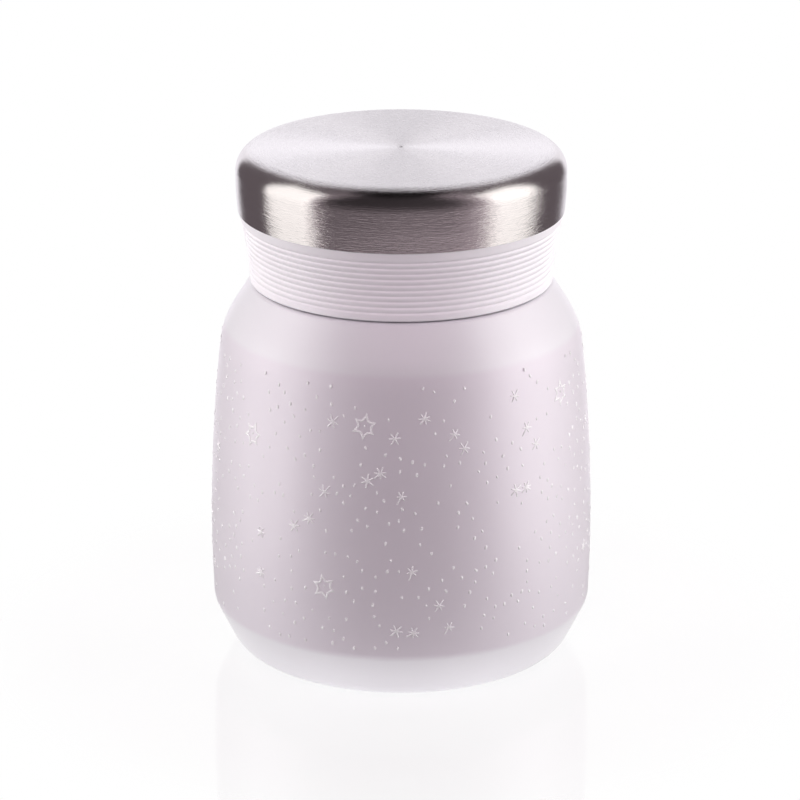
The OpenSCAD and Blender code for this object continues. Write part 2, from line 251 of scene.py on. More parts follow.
# %% Floor
floor_radius = 0.12
plate_white = 0.31
open_light = 0.95                  # share of white at which the lamps light the open plate
shadow_share = 0.16
shadow_fade = (0.075, 0.112)       # radii over which the shadow share fades
plate_ior = 1.5
plate_haze = 0.05                  # roughness of the plate as the other rays see it
near_glow = 0.72
glow_rings = (0.052, 0.060)        # radii over which the glow round the foot ends
glow_sides = (0.35, 0.9, 1, 0.76)  # weaker left and right: shares of the radius, and of the glow

bpy.ops.mesh.primitive_circle_add(vertices=128, radius=floor_radius, fill_type="NGON")
floor = bpy.context.object
floor.name = "floor"
plate = bpy.data.materials.new("white_acrylic")
tree = Tree(plate)
x, y, _ = tree.add("SeparateXYZ", {0: tree.add("TexCoord").outputs["Object"]}).outputs
from_middle = tree.distance(x, y)
share = tree.ramp(from_middle, *shadow_fade, shadow_share, 0)
open_glow = tree.math("SUBTRACT", 1, tree.math("MULTIPLY", share, open_light))
white_glow = tree.add("Emission", {"Color": grey(1), "Strength": open_glow})
lit_share = tree.add("BsdfDiffuse", {"Color": tree.mix(share, grey(0), grey(1))})
shown = tree.add("AddShader", {0: white_glow.outputs[0], 1: lit_share.outputs[0]})
mirror = tree.add("BsdfGlossy", {"Color": grey(1), "Roughness": 0.0})
fresnel = tree.add("Fresnel", {"IOR": plate_ior}).outputs[0]
polished = tree.add("MixShader", {0: fresnel, 1: shown.outputs[0], 2: mirror.outputs[0]})
near = tree.ramp(from_middle, *glow_rings, near_glow, 0)
aside = tree.math("DIVIDE", tree.math("ABSOLUTE", x), from_middle)
foot_glow = tree.math("MULTIPLY", near, tree.ramp(aside, *glow_sides))
under_glow = tree.add("Emission", {"Color": grey(1), "Strength": foot_glow})
pale = tree.add("BsdfDiffuse", {"Color": grey(plate_white)})
glowing = tree.add("AddShader", {0: under_glow.outputs[0], 1: pale.outputs[0]})
sheen = tree.add("BsdfGlossy", {"Color": grey(1), "Roughness": plate_haze})
ordinary = tree.add("MixShader", {0: fresnel, 1: glowing.outputs[0], 2: sheen.outputs[0]})
by_camera = tree.add("LightPath").outputs["Is Camera Ray"]
split = tree.add("MixShader", {0: by_camera, 1: ordinary.outputs[0], 2: polished.outputs[0]})
clear = tree.add("BsdfTransparent")
underside = tree.add("NewGeometry").outputs["Backfacing"]
whole = tree.add("MixShader", {0: underside, 1: split.outputs[0], 2: clear.outputs[0]})
tree.links.new(whole.outputs[0], tree.add("OutputMaterial").inputs[0])
floor.data.materials.append(plate)
print("floor:", floor_radius, "m")

# %% [markdown]
# ## Sizes from the frame
# The visible pieces follow the engineering model. Their main heights and radii are read from the
# boxes of its nodes. The bends and slopes between them, and the other sizes, are typed in, in mm.

# %% Sizes


def radius_of(node):
    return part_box(node)[1][0]


def heights_of(node):
    low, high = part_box(node)
    return low[2], high[2]


body_r = radius_of("outer_shell")
collar_top_r = radius_of("grip_collar")
cap_r = radius_of("cap_shell")
neck_top_z = heights_of("outer_shell")[1]
collar_z, core_z = heights_of("grip_collar")
cap_rim_z, cap_top_z = heights_of("cap_shell")
press_gap = 0.05 * mm
collar_top_z = cap_rim_z - press_gap
shell_t = 0.6 * mm     # thickness of the outer sheet steel
tight = 1.2 * mm       # a tight bend in that sheet
for label, radius in (("body", body_r), ("collar", collar_top_r), ("cap", cap_r)):
    print(label, "radius", round(radius / mm, 2), "mm")

# %% [markdown]
# ## Turning a piece
# Every main piece of the jar is round, as if made on a lathe. In Blender the lathe is Spin: an
# outline is drawn to the right of the axis and swept once round it. The outline starts as a plane
# merged into one point. The point is extruded from corner to corner, and each corner is then
# rounded with a vertex bevel, so the script names only corners and radii, as a drawing would.

# %% Turning helpers
around_steps = 192         # steps round the axis
bend_step = 7              # the most degrees that one step of a bend turns
same_spot = 0.001 * mm     # corners are found within this distance
merge_gap = 0.002 * mm     # and merged within this one


def deselect_all():
    bpy.ops.object.select_all(action="DESELECT")


def edit(piece):
    deselect_all()
    piece.select_set(True)
    bpy.context.view_layer.objects.active = piece
    bpy.ops.object.mode_set(mode="EDIT")


def leave_edit():
    bpy.ops.object.mode_set(mode="OBJECT")


def select_where(piece, kind, test):
    """In edit mode, selects the vertices, or the edges by their middles, that pass the test."""
    bpy.ops.mesh.select_mode(type=kind)
    bpy.ops.mesh.select_all(action="DESELECT")
    leave_edit()
    mesh = piece.data
    if kind == "VERT":
        for vertex in mesh.vertices:
            vertex.select = test(vertex.co)
    else:
        for edge in mesh.edges:
            ends = [mesh.vertices[i].co for i in edge.vertices]
            edge.select = test((ends[0] + ends[1]) / 2)
    bpy.ops.object.mode_set(mode="EDIT")


def start_piece(name, place):
    """A piece that holds one vertex: a small plane, merged at its middle."""
    deselect_all()
    bpy.ops.mesh.primitive_plane_add(size=1 * mm, location=(0, 0, 0))
    piece = bpy.context.object
    piece.name = name
    piece.data.name = name
    bpy.ops.object.mode_set(mode="EDIT")
    bpy.ops.mesh.select_all(action="SELECT")
    bpy.ops.mesh.merge(type="CENTER")
    bpy.ops.transform.translate(value=place)
    return piece


def round_corner(piece, before, corner, after):
    """In edit mode, turns a corner of the outline into an arc with the corner's bend as radius."""
    back = Vector(before[:2]) - Vector(corner[:2])
    ahead = Vector(after[:2]) - Vector(corner[:2])
    reach = corner[2] / math.tan(back.angle(ahead) / 2)
    steps = max(2, math.ceil(math.degrees(math.pi - back.angle(ahead)) / bend_step))
    spot = Vector((corner[0], 0, corner[1]))
    select_where(piece, "VERT", lambda co: (co - spot).length < same_spot)
    bpy.ops.mesh.bevel(
        offset=reach, offset_type="OFFSET", affect="VERTICES", segments=steps, profile=0.5
    )


def draw_outline(name, corners):
    """Draws corners of (radius, height, bend) as a line, rounds them, and stays in edit mode."""
    piece = start_piece(name, (corners[0][0], 0, corners[0][1]))
    for last, here in zip(corners, corners[1:]):
        step = (here[0] - last[0], 0, here[1] - last[1])
        bpy.ops.mesh.extrude_vertices_move(TRANSFORM_OT_translate={"value": step})
    for before, corner, after in zip(corners, corners[1:], corners[2:]):
        if corner[2] > 0:
            round_corner(piece, before, corner, after)
    return piece


def spin_outline(piece):
    """Sweeps the outline once round Z, closes the seam and the poles, and turns faces outward."""
    bpy.ops.mesh.select_all(action="SELECT")
    bpy.ops.mesh.spin(steps=around_steps, angle=2 * math.pi, center=(0, 0, 0), axis=(0, 0, 1))
    bpy.ops.mesh.select_all(action="SELECT")
    bpy.ops.mesh.remove_doubles(threshold=merge_gap)
    bpy.ops.mesh.normals_make_consistent(inside=False)
    leave_edit()


def thicken(piece, thickness, inner_slot=0):
    wall = piece.modifiers.new("wall", "SOLIDIFY")
    wall.thickness = thickness
    wall.offset = -1
    wall.use_even_offset = True
    wall.material_offset = inner_slot
    wall.material_offset_rim = inner_slot
    bpy.context.view_layer.objects.active = piece
    bpy.ops.object.modifier_apply(modifier="wall")


def smooth(piece, angle=35):
    deselect_all()
    piece.select_set(True)
    bpy.context.view_layer.objects.active = piece
    bpy.ops.object.shade_smooth_by_angle(angle=math.radians(angle))


def told(piece):
    piece.data.calc_loop_triangles()
    print(piece.name + ":", len(piece.data.loop_triangles), "triangles")


# %% [markdown]
# ## Painted body
# The outer wall is one steel pressing: neck, shoulder, a very slightly bellied side, a band that
# draws in to the foot, and a foot ring rolled inward. Its long upright side is an arc of a large
# circle, so it is drawn as a row of short straight steps. Solidify then gives the sheet its wall.
# The powder coat covers the outside up to the shoulder, and the neck under the lid and the vacuum
# side stay bare steel.

# %% Painted body: outline
belly_bend = 411 * mm
belly_z = 28.3 * mm
body_h = 89.5 * mm
shoulder_r = 35.2 * mm
shoulder_low_z = 78.9 * mm
band_z = 12 * mm
base_r = 38.7 * mm
foot_r = 32.47 * mm
hem_z = 3.2 * mm
neck_r = 31.0 * mm
neck_bend = 0.6 * mm
shoulder_bend = 17 * mm
band_bend = 5 * mm
base_bend = 6 * mm
side_steps = 22


def side_r(z):
    return body_r - belly_bend + math.sqrt(belly_bend**2 - (z - belly_z) ** 2)


side = []
for i in range(1, side_steps):
    z = shoulder_low_z + (band_z - shoulder_low_z) * i / side_steps
    side.append((side_r(z), z, 0))
body_corners = [
    (neck_r, neck_top_z, 0),
    (neck_r, body_h, neck_bend),
    (shoulder_r, body_h, tight),
    (side_r(shoulder_low_z), shoulder_low_z, shoulder_bend),
    *side[1:-2],    # the bends above and below need the room of the steps left out
    (side_r(band_z), band_z, band_bend),
    (base_r, 0, base_bend),
    (foot_r, 0, tight),
    (foot_r, hem_z, 0),
]
painted_body = draw_outline("painted_body", body_corners)
spin_outline(painted_body)
thicken(painted_body, shell_t, inner_slot=1)
smooth(painted_body)
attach(painted_body, "vessel")
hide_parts("outer_shell")
told(painted_body)

# %% [markdown]
# ## Ribbed collar
# The grip is moulded in one plastic piece with the lid's inner thread. Outside it flares towards
# the cap, and ten shallow grooves leave soft ribs for the fingers. The ribs could be cut with a
# Boolean for each groove. Here they are part of the spun outline, a flare with a cosine ripple
# taken off it, which keeps the mesh even.

# %% Ribbed collar: outline
flare_h = 15.4 * mm
flare_power = 1.65
collar_r = 35.3 * mm
groove_count = 10
groove_pitch = 1.36 * mm
groove_first = 2.0 * mm
groove_depth = 0.3 * mm
groove_steps = 12
collar_edge = 0.5 * mm
bore_r = 33.35 * mm
shelf_r = 29.3 * mm
shelf_z = 105.4 * mm
shelf_bend = 0.4 * mm
core_bore_r = 37.25 * mm
tongue_inner_r = 35.25 * mm
tongue_outer_r = 36.85 * mm
tongue_floor_z = 105.7 * mm


def collar_side_r(z):
    flare = max(0, (z - collar_top_z + flare_h) / flare_h) ** flare_power
    place = (z - collar_z - groove_first) / groove_pitch
    inside_ribs = -0.5 < place < groove_count - 0.5
    groove = groove_depth * math.cos(math.pi * place) ** 4 if inside_ribs else 0
    return collar_r + (collar_top_r - collar_r) * flare - groove


ribs_z = collar_z + groove_first - groove_pitch / 2
ribs = []
for i in range(groove_steps * groove_count + 1):
    z = ribs_z + groove_pitch * i / groove_steps
    ribs.append((collar_side_r(z), z, 0))
neck_of_flare = (ribs[-1][1] + collar_top_z) / 2
collar_corners = [
    (bore_r, collar_z, 0),
    (collar_r, collar_z, collar_edge),
    *ribs,
    (collar_side_r(neck_of_flare), neck_of_flare, 0),
    (collar_top_r, collar_top_z, 0),
    (core_bore_r, collar_top_z, 0),
    (core_bore_r, core_z, 0),
    (tongue_outer_r, core_z, 0),
    (tongue_outer_r, tongue_floor_z, 0),
    (tongue_inner_r, tongue_floor_z, 0),
    (tongue_inner_r, core_z, 0),
    (shelf_r, core_z, 0),
    (shelf_r, shelf_z, 0),
    (bore_r, shelf_z, shelf_bend),
    (bore_r, collar_z, 0),
]
ribbed_collar = draw_outline("ribbed_collar", collar_corners)
spin_outline(ribbed_collar)
told(ribbed_collar)

# %% [markdown]
# The lid is held by three short threads inside the collar. A thread is a trapezium swept up a
# helix. The Screw modifier does just that: it turns the drawn section about Z and lifts it on the
# way. The first and last few sections are then drawn back into the wall, so that the thread rises
# out of it and sinks back, as a moulded thread does.

# %% Threads
thread_starts = 3
thread_arc = math.radians(140)
thread_steps = 28
thread_lead = 12 * mm
thread_depth = 1.2 * mm
thread_embed = 0.3 * mm
thread_first = math.radians(12.7)
thread_widths = (1.8 * mm, 0.9 * mm)    # at the root and at the crest
thread_fade = 3                         # sections over which an end rises
thread_end = 0.3                        # how far towards the next one the first has risen
crest_slack = 0.05 * mm                 # tolerances by which a section's crest is found
crest_aim = 0.005
lid_thread_z = 92.1 * mm


def add_thread(name, root_r, crest_r, mid_z, start):
    root_w, crest_w = thread_widths
    piece = start_piece(name, (root_r, 0, mid_z - root_w / 2))
    crest_step = (crest_r - root_r, 0, (root_w - crest_w) / 2)
    for step in (crest_step, (0, 0, crest_w), (-crest_step[0], 0, crest_step[2]), (0, 0, -root_w)):
        bpy.ops.mesh.extrude_vertices_move(TRANSFORM_OT_translate={"value": step})
    bpy.ops.mesh.select_all(action="SELECT")
    bpy.ops.mesh.remove_doubles(threshold=merge_gap)
    bpy.ops.transform.rotate(value=-start, orient_axis="Z", center_override=(0, 0, 0))
    leave_edit()
    helix = piece.modifiers.new("helix", "SCREW")
    helix.axis = "Z"
    helix.angle = thread_arc
    helix.screw_offset = thread_lead * thread_arc / (2 * math.pi)
    helix.steps = helix.render_steps = thread_steps
    bpy.context.view_layer.objects.active = piece
    bpy.ops.object.modifier_apply(modifier="helix")
    edit(piece)
    for i in range(thread_fade):
        sink = (crest_r - root_r) * (1 - (i + thread_end) / thread_fade)
        for section in (i, thread_steps - i):
            turn = start + thread_arc * section / thread_steps
            outward = Vector((math.cos(turn), math.sin(turn), 0))
            select_where(piece, "VERT", lambda co: is_crest(co, outward, crest_r))
            bpy.ops.transform.translate(value=-outward * sink)
    bpy.ops.mesh.select_all(action="SELECT")
    bpy.ops.mesh.fill_holes(sides=4)
    bpy.ops.mesh.normals_make_consistent(inside=False)
    leave_edit()
    return piece


def is_crest(co, outward, crest_r):
    flat = Vector((co.x, co.y, 0))
    at_crest = abs(flat.length - crest_r) < crest_slack
    return at_crest and (flat.normalized() - outward).length < crest_aim


collar_threads = [
    add_thread(
        "collar_thread",
        bore_r + thread_embed,
        bore_r - thread_depth,
        lid_thread_z,
        thread_first + 2 * math.pi * i / thread_starts,
    )
    for i in range(thread_starts)
]
deselect_all()
for thread in (*collar_threads, ribbed_collar):
    thread.select_set(True)
bpy.context.view_layer.objects.active = ribbed_collar
bpy.ops.object.join()
smooth(ribbed_collar, 40)
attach(ribbed_collar, "lid")
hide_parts("grip_collar")
told(ribbed_collar)

# %% [markdown]
# ## Brushed cap
# The cap is deep-drawn from sheet steel and pressed over the plastic core. Its top is flat, its
# upper edge is a generous bend, and the side draws in a little towards the trimmed rim. A small
# dimple is left at the centre, where the brushing turned on the spot.

# %% Brushed cap
cap_round = 5.2 * mm
cap_tuck = 0.4 * mm
cap_tuck_h = 4.6 * mm
cap_side_bend = 30 * mm
cap_top_edge = 1 * mm     # how far inside its bend the flat top ends
dimple_r = 0.5 * mm
dimple_depth = 0.25 * mm
dimple_bend = 0.3 * mm
cap_corners = [
    (0, cap_top_z - dimple_depth, 0),
    (dimple_r, cap_top_z, dimple_bend),
    (cap_r - cap_round - cap_top_edge, cap_top_z, 0),
    (cap_r, cap_top_z, cap_round),
    (cap_r, collar_top_z + cap_tuck_h, cap_side_bend),
    (cap_r - cap_tuck, cap_rim_z, 0),
]
brushed_cap = draw_outline("brushed_cap", cap_corners)
spin_outline(brushed_cap)
thicken(brushed_cap, shell_t)
smooth(brushed_cap)
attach(brushed_cap, "lid")
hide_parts("cap_shell")
told(brushed_cap)

# %% [markdown]
# ## Stars and grains
# The side carries a loose sky of small raised motifs: grains like rice, little hand-drawn stars,
# and a few larger outlined ones. They could be painted on with a texture, but they stand off the
# coat by about a tenth of a millimetre and catch the light on their flanks, so they are modelled.
# Each motif is made once, flat and facing the camera: x runs round the jar, z up it, and minus y
# off it. Copies are then wrapped onto the side.

# %% Motif helpers
motif_sunk = 0.03 * mm
motif_raised = 0.06 * mm
upright = (math.radians(90), 0, 0)


def raise_flat(piece, edge, crown):
    """In edit mode, gives a flat motif its thickness, and draws its face in to a soft crown."""
    rise = (0, -motif_sunk - motif_raised, 0)
    bpy.ops.mesh.select_all(action="SELECT")
    bpy.ops.mesh.extrude_region_move(TRANSFORM_OT_translate={"value": rise})
    bpy.ops.mesh.inset(thickness=edge, depth=0, use_even_offset=True)
    bpy.ops.transform.translate(value=(0, -crown, 0))
    bpy.ops.mesh.select_all(action="SELECT")
    bpy.ops.transform.translate(value=(0, motif_sunk, 0))
    bpy.ops.mesh.normals_make_consistent(inside=False)
    leave_edit()


def add_flat_circle(name, vertices, radius):
    deselect_all()
    bpy.ops.mesh.primitive_circle_add(
        vertices=vertices, radius=radius, fill_type="NGON", rotation=upright
    )
    motif = bpy.context.object
    motif.name = name
    bpy.ops.object.transform_apply(location=True, rotation=True, scale=True)
    return motif


# %% Grain
grain_size = (0.33 * mm, 0.53 * mm, 0.14 * mm)    # half its width, half its length, and height
deselect_all()
bpy.ops.mesh.primitive_uv_sphere_add(
    segments=10, ring_count=5, radius=1, scale=grain_size, rotation=upright
)
grain = bpy.context.object
grain.name = "grain"
bpy.ops.object.transform_apply(location=True, rotation=True, scale=True)
edit(grain)
bpy.ops.mesh.select_all(action="SELECT")
bpy.ops.mesh.bisect(
    plane_co=(0, motif_sunk, 0),
    plane_no=(0, 1, 0),
    clear_outer=True,
    use_fill=True,
    threshold=same_spot,
)
leave_edit()
told(grain)

# %% [markdown]
# A small star starts as a polygon with one side for each arm. Each side is extruded outward by its
# own length, narrowed, and extruded once more to round the tip. Unequal arms and a slight lean make
# it look drawn by hand.

# %% Small stars
arm_w = 0.46 * mm
arm_taper = 0.8           # an arm's width where its tip starts, as a share
tip_reach = 0.1 * mm
tip_taper = 0.55          # the tip's width at its end, as a share
star_edge = 0.10 * mm
star_crown = 0.06 * mm
find_within = 0.01 * mm   # a motif's sides and corners are found within this distance


def make_small_star(name, arm_lengths, lean):
    """Makes a star with an arm for each length in millimetres, turned by the degrees of lean."""
    count = len(arm_lengths)
    core = arm_w / (2 * math.sin(math.pi / count))
    star = add_flat_circle(name, count, core)
    edit(star)
    for i, length in enumerate(arm_lengths):
        middle = math.radians(360 * (i + 0.5) / count)
        spot = Vector((math.sin(middle), 0, math.cos(middle))) * core * math.cos(math.pi / count)
        middle += math.radians(lean[i % len(lean)])
        outward = Vector((math.sin(middle), 0, math.cos(middle)))
        select_where(star, "EDGE", lambda co: (co - spot).length < find_within)
        for reach, taper in ((length * mm, arm_taper), (tip_reach, tip_taper)):
            bpy.ops.mesh.extrude_edges_move(TRANSFORM_OT_translate={"value": outward * reach})
            bpy.ops.transform.resize(value=(taper, taper, taper))
    raise_flat(star, star_edge, star_crown)
    told(star)
    return star


small_stars = [
    make_small_star("star_long", (1.7, 1.1, 1.2, 1.6, 1.2, 1.5), (0, 6, -5)),
    make_small_star("star_even", (1.4, 1.2, 1.3, 1.4, 1.1, 1.3), (4, -5, 0, 7)),
    make_small_star("star_seven", (1.3, 1.0, 1.2, 0.9, 1.5, 1.0, 1.1), (0, 5, -4)),
    make_small_star("star_tail", (1.2, 1.1, 1.0, 2.0, 0.9, 1.1), (-3, 4)),
]

# %% [markdown]
# An outlined star starts as a twelve-sided polygon. Every second corner is drawn in, the inner
# corners are softened with a vertex bevel, and an inset leaves a thin rim once the face inside it
# is deleted.

# %% Outlined stars
outline_w = 0.42 * mm
points = 6
point_r = 2.85 * mm
inner_share = 0.5          # radius of the inner corners, as a share of the points'
point_share = 0.93         # the points' own radii swing round this share, by
point_swing = 0.07
swing_step = 2.3
inner_within = 1.6 * mm    # every inner corner is nearer to the middle than this
inner_soft = 0.35 * mm
outlined_star = add_flat_circle("outlined_star", 2 * points, point_r)
edit(outlined_star)
for i in range(2 * points):
    turn = math.radians(360 * i / (2 * points))
    spot = Vector((math.sin(turn), 0, math.cos(turn))) * point_r
    inward = inner_share if i % 2 else point_share + point_swing * math.cos(swing_step * i)
    select_where(outlined_star, "VERT", lambda co: (co - spot).length < find_within)
    bpy.ops.transform.translate(value=-spot * (1 - inward))
select_where(outlined_star, "VERT", lambda co: co.length < inner_within)
bpy.ops.mesh.bevel(
    offset=inner_soft, offset_type="OFFSET", affect="VERTICES", segments=3, profile=0.5
)
bpy.ops.mesh.select_all(action="SELECT")
bpy.ops.mesh.inset(thickness=outline_w, depth=0, use_even_offset=True)
bpy.ops.mesh.delete(type="FACE")
raise_flat(outlined_star, star_edge, star_crown)
told(outlined_star)

# %% [markdown]
# The places of the stars are listed where the jar faces the viewer, and the far side is filled in
# the same loose way. The grains come one to three at a time in short wandering rows, like beads
# that rolled off a string, and keep clear of the stars and of each other. The random draws have a
# fixed seed, so every run gives the same sky.

# %% Places on the side
sky_low = 14 * mm
sky_high = 77.5 * mm
outlined_places = [
    (-11, 67.5, 8), (-23, 28.5, -12), (-51, 60.5, 20), (58, 69, 5),
    (108, 33, 15), (150, 61, -8), (-110, 24, 10), (-152, 50, 0),
]
star_places = [
    (-21, 68), (-2, 65), (7, 69.5), (16, 65.5), (19, 62), (-10, 55), (-6.2, 56.8), (0, 51.5),
    (-23, 51.5), (-33, 42), (-28, 44.5), (3, 33.5), (11, 25), (-1.5, 19), (3.5, 18.5), (14, 19.5),
    (37, 72), (36, 50), (40, 50), (41, 64), (44.5, 59.5), (-46, 38), (-46, 28),
    (78, 58), (84, 55), (97, 70), (118, 52), (124, 49), (131, 68), (139, 36), (146, 24), (163, 44),
    (171, 71), (-176, 30), (-168, 66), (-160, 20), (-141, 68), (-134, 40), (-128, 37), (-119, 60),
    (-103, 47), (-96, 65), (-88, 34), (-79, 22), (-74, 52), (72, 28),
]
outlined_room = 3.4 * mm
star_room = 1.7 * mm
grain_room = 1.15 * mm
row_count = 800
row_grains = (1, 3)
row_stride = (2.6, 4.6)      # millimetres from one grain to the next
row_drift = 0.5              # radians by which a row changes its heading
grain_lean = 14              # degrees
grain_scale = (0.75, 1.1)
sky = random.Random(11)
taken = [(math.radians(a) * body_r, h * mm, outlined_room) for a, h, _ in outlined_places]
taken += [(math.radians(a) * body_r, h * mm, star_room) for a, h in star_places]
girth = 2 * math.pi * body_r


def is_free(x, z, own_room):
    for other_x, other_z, other_room in taken:
        across = (x - other_x + girth / 2) % girth - girth / 2
        if math.hypot(across, z - other_z) < own_room + other_room:
            return False
    return sky_low < z < sky_high


grain_places = []
for _ in range(row_count):
    x, z = sky.uniform(0, girth), sky.uniform(sky_low, sky_high)
    heading = sky.uniform(0, 2 * math.pi)
    for _ in range(sky.randint(*row_grains)):
        if is_free(x, z, grain_room):
            taken.append((x, z, grain_room))
            lean, size = sky.gauss(0, grain_lean), sky.uniform(*grain_scale)
            grain_places.append((x / body_r, z, lean, size))
        heading += sky.gauss(0, row_drift)
        stride = sky.uniform(*row_stride) * mm
        x += stride * math.cos(heading)
        z += stride * math.sin(heading)
print("grains:", len(grain_places), "stars:", len(star_places), "outlined:", len(outlined_places))

# %% Wrap the copies onto the side


def wrapped_copy(motif, angle, height, lean, size):
    """A copy of a flat motif, laid on the side at an angle in radians, with its own mesh."""
    copy = motif.copy()
    copy.data = motif.data.copy()
    bpy.context.collection.objects.link(copy)
    spun = Matrix.Rotation(math.radians(lean), 4, "Y") @ Matrix.Scale(size, 4)
    for vertex in copy.data.vertices:
        flat = spun @ vertex.co
        z = height + flat.z
        r = side_r(z) - vertex.co.y
        around = angle + flat.x / body_r
        vertex.co = (r * math.sin(around), -r * math.cos(around), z)
    return copy


def joined(copies, name):
    deselect_all()
    for copy in copies:
        copy.select_set(True)
    bpy.context.view_layer.objects.active = copies[0]
    bpy.ops.object.join()
    piece = bpy.context.object
    piece.name = name
    piece.data.name = name
    smooth(piece, 50)
    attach(piece, "vessel")
    told(piece)
    return piece


grains = [wrapped_copy(grain, *place) for place in grain_places]
raised_grains = joined(grains, "raised_grains")
star_lean = (-25, 25)       # degrees
star_scale = (0.74, 0.92)
outlined_scale = 1.16
dot_rise = 0.3              # millimetres by which the dot sits above an outlined star's middle
dot_scale = 0.6
stars = []
for i, (angle, height) in enumerate(star_places):
    motif = small_stars[i % len(small_stars)]
    lean, size = sky.uniform(*star_lean), sky.uniform(*star_scale)
    stars.append(wrapped_copy(motif, math.radians(angle), height * mm, lean, size))
for angle, height, lean in outlined_places:
    angle = math.radians(angle)
    stars.append(wrapped_copy(outlined_star, angle, height * mm, lean, outlined_scale))
    stars.append(wrapped_copy(grain, angle, (height + dot_rise) * mm, lean, dot_scale))
raised_stars = joined(stars, "raised_stars")
for motif in (grain, outlined_star, *small_stars):
    bpy.data.objects.remove(motif)

# %% [markdown]
# ## Finishes
# Every finish is built from noise in the piece's own object coordinates, so it needs no image and
# no UV map, and stays put when the lid turns. Two helpers are shared. One adds a fine bump. The
# other gives a coordinate for marks that a lathe or a brush leaves: it hardly changes round the
# axis and changes fast along the outline.

# %% Finish helpers
noise_span = (0.3, 0.7)    # nearly all of a noise's values lie between these two
axis_guard = 0.1 * mm      # keeps the division by the radius safe on the axis


def object_place(tree):
    return tree.add("TexCoord").outputs["Object"]


def noise(tree, place, scale, detail=2.0, roughness=0.5):
    inputs = {"Vector": place, "Scale": scale, "Detail": detail, "Roughness": roughness}
    return tree.add("TexNoise", inputs).outputs["Fac"]


def bump(tree, height, strength, distance):
    inputs = {"Height": height, "Strength": strength, "Distance": distance}
    return tree.add("Bump", inputs).outputs[0]


def turning_place(tree, along, across):
    """Gives along marks per radian round Z, and across marks per metre along the outline."""
    x, y, z = tree.add("SeparateXYZ", {0: object_place(tree)}).outputs
    radius = tree.math("MAXIMUM", tree.distance(x, y), axis_guard)
    around_x = tree.math("MULTIPLY", tree.math("DIVIDE", x, radius), along)
    around_y = tree.math("MULTIPLY", tree.math("DIVIDE", y, radius), along)
    outline = tree.math("MULTIPLY", tree.math("SUBTRACT", z, radius), across)
    return tree.add("CombineXYZ", {0: around_x, 1: around_y, 2: outline}).outputs[0]


def new_finish(name):
    material = bpy.data.materials.new(name)
    return material, Tree(material)


def end_finish(tree, shader):
    tree.links.new(shader.outputs[0], tree.add("OutputMaterial").inputs[0])


def dress(piece, *materials):
    slots = piece.data.materials
    for i, material in enumerate(materials):
        if i < len(slots):
            slots[i] = material
        else:
            slots.append(material)


# %% [markdown]
# ### Powder coat
# The coat is a pale lilac powder with a little mica in it, under a thin satin lacquer. The mica
# gives the broad pearly sheen. Part Metallic with a high roughness does that, and Coat adds the
# tighter gloss of the lacquer. The surface has a faint orange peel, about a third of a millimetre
# across. The two slopes, the shoulder and the foot band, get a paler, greyer colour with a soft
# edge at each crease. That is painted light, for the brighter light that the slopes catch.

# %% Powder coat
shoulder_light_edge = (78.0 * mm, 79.9 * mm)    # heights over which the slopes' painted light starts
foot_light_edge = (11.2 * mm, 12.7 * mm)
pale_lilac = (0.872, 0.826, 0.884, 1)
paler_lilac = (0.902, 0.856, 0.914, 1)
slope_painted_light = (0.915, 0.90, 0.937, 1)
mica_white = (0.98, 0.95, 0.99, 1)
mica_span = (0.35, 0.65)
mica_share = 0.06
powder_coat, tree = new_finish("powder_coat")
place = object_place(tree)
height = tree.add("SeparateXYZ", {0: place}).outputs[2]
cloud = noise(tree, place, 45, 2)
peel = noise(tree, place, 2600, 2)
flakes = noise(tree, place, 9000, 1)
colour = tree.mix(cloud, pale_lilac, paler_lilac)
shoulder = tree.ramp(height, *shoulder_light_edge)
foot = tree.ramp(height, *foot_light_edge, 1, 0)
slopes = tree.math("MAXIMUM", shoulder, foot)
# The slopes get a paler, greyer colour: painted light, with a painted edge at each crease.
colour = tree.mix(slopes, colour, slope_painted_light)
colour = tree.mix(tree.ramp(flakes, *mica_span, 0, mica_share), colour, mica_white)
coat = tree.add(
    "BsdfPrincipled",
    {
        "Base Color": colour,
        "Metallic": 0.37,
        "Roughness": tree.ramp(noise(tree, place, 900, 3), *noise_span, 0.54, 0.60),
        "IOR": 1.45,
        "Coat Weight": 0.8,
        "Coat Roughness": 0.3,
        "Coat IOR": 1.5,
        "Normal": bump(tree, peel, 0.10, 0.02 * mm),
    },
)
end_finish(tree, coat)

# %% [markdown]
# ### Raised print
# The stars and grains are a thicker, whiter lacquer than the coat round them. Part Metallic would
# make them bright only where they mirror a lamp, so they are plain white. A high IOR gives their
# small flanks a glint.

# %% Raised print
white_lacquer, tree = new_finish("white_lacquer")
place = object_place(tree)
colour = tree.mix(noise(tree, place, 700, 2), (0.95, 0.94, 0.96, 1), (0.99, 0.98, 0.99, 1))
lacquer = tree.add(
    "BsdfPrincipled",
    {
        "Base Color": colour,
        "Roughness": tree.ramp(noise(tree, place, 3000), *noise_span, 0.20, 0.28),
        "IOR": 1.9,
    },
)
end_finish(tree, lacquer)

# %% [markdown]
# ### Brushed steel
# The cap is brushed round its axis, in circles on top and level lines on the side. Such fine
# scratches scatter light across themselves and hardly along themselves. The Principled shader does
# this with Anisotropic, and a Tangent node set to Radial Z tells it which way round the axis runs.
# The scatter is turned by a quarter to lie across the scratches. The longer, visible streaks come
# from noise that is stretched the same way. They get shallower towards the bend, and the top has
# rings of its own and a softer gloss. The top is also given a much paler colour than the side,
# which is a painted highlight.

# %% Steel helper


def end_steel(tree, colour, gloss, stretch, normal):
    """Ends a steel's tree. stretch says how much more the steel scatters across its marks."""
    inputs = {
        "Base Color": colour,
        "Metallic": 1.0,
        "Roughness": gloss,
        "Anisotropic": stretch,
        "Anisotropic Rotation": 0.25,
        "Tangent": tree.add("Tangent", direction_type="RADIAL", axis="Z").outputs[0],
        "Normal": normal,
    }
    end_finish(tree, tree.add("BsdfPrincipled", inputs))


